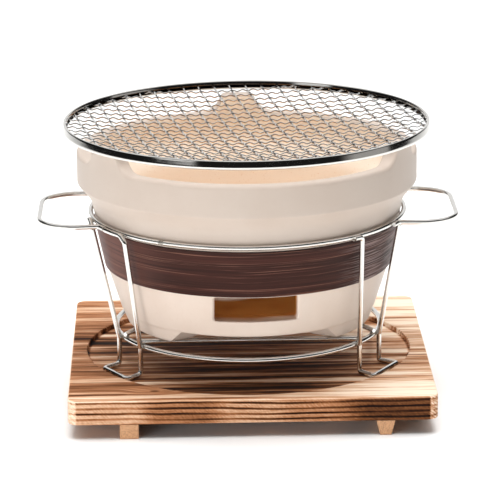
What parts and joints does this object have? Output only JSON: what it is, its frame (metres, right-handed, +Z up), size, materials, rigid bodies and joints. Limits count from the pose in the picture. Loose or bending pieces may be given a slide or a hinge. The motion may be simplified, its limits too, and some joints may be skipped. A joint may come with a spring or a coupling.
{
  "type": "charcoal brazier",
  "caption": "Round ceramic charcoal brazier on a bent-wire carrying stand, with a woven wire grill on its rim and a scorched plank board under it.",
  "frame": {"origin": "middle of the footprint, on the surface that the board's cleats stand on", "axes": "+Z up, -Y to the front, where the air window is; X runs from handle to handle and along the board's grain"},
  "size_m": [0.2742, 0.24, 0.1801],
  "materials": {
    "charred_wood": "scorched and wire-brushed",
    "bare_wood": "sawn, a little scorched",
    "bright_wire": "bright plated wire",
    "cream_glaze": "satin cream glaze",
    "band_veneer": "semi-gloss dark veneer",
    "bare_clay": "matt, unglazed",
    "grill_steel": "bright rolled edge",
    "net_wire": "dull drawn wire"
  },
  "bodies": {
    "board": {"board_plank": "charred_wood", "cleat_left": "bare_wood", "cleat_right": "bare_wood"},
    "stand": {"lower_ring": "bright_wire", "upper_ring": "bright_wire", "leg_front_left": "bright_wire", "leg_front_right": "bright_wire", "leg_rear": "bright_wire", "handle_left": "bright_wire", "handle_right": "bright_wire", "bar_front": "bright_wire", "bar_left": "bright_wire", "bar_right": "bright_wire"},
    "brazier": {"bowl_body": "cream_glaze", "wood_band": "band_veneer"},
    "grate": {"fire_grate": "bare_clay"},
    "grill": {"grill_rim": "grill_steel", "grill_wires_a": "net_wire", "grill_wires_b": "net_wire"}
  },
  "joints": [
    {"name": "stand_lift", "type": "slide", "parent": "board", "child": "stand", "axis": [0, 0, 1], "range_m": [0, 0.04]},
    {"name": "bowl_lift", "type": "slide", "parent": "stand", "child": "brazier", "axis": [0, 0, 1], "range_m": [0, 0.09]},
    {"name": "grate_lift", "type": "slide", "parent": "brazier", "child": "grate", "axis": [0, 0, 1], "range_m": [0, 0.06]},
    {"name": "grill_lift", "type": "slide", "parent": "brazier", "child": "grill", "axis": [0, 0, 1], "range_m": [0, 0.04]}
  ]
}
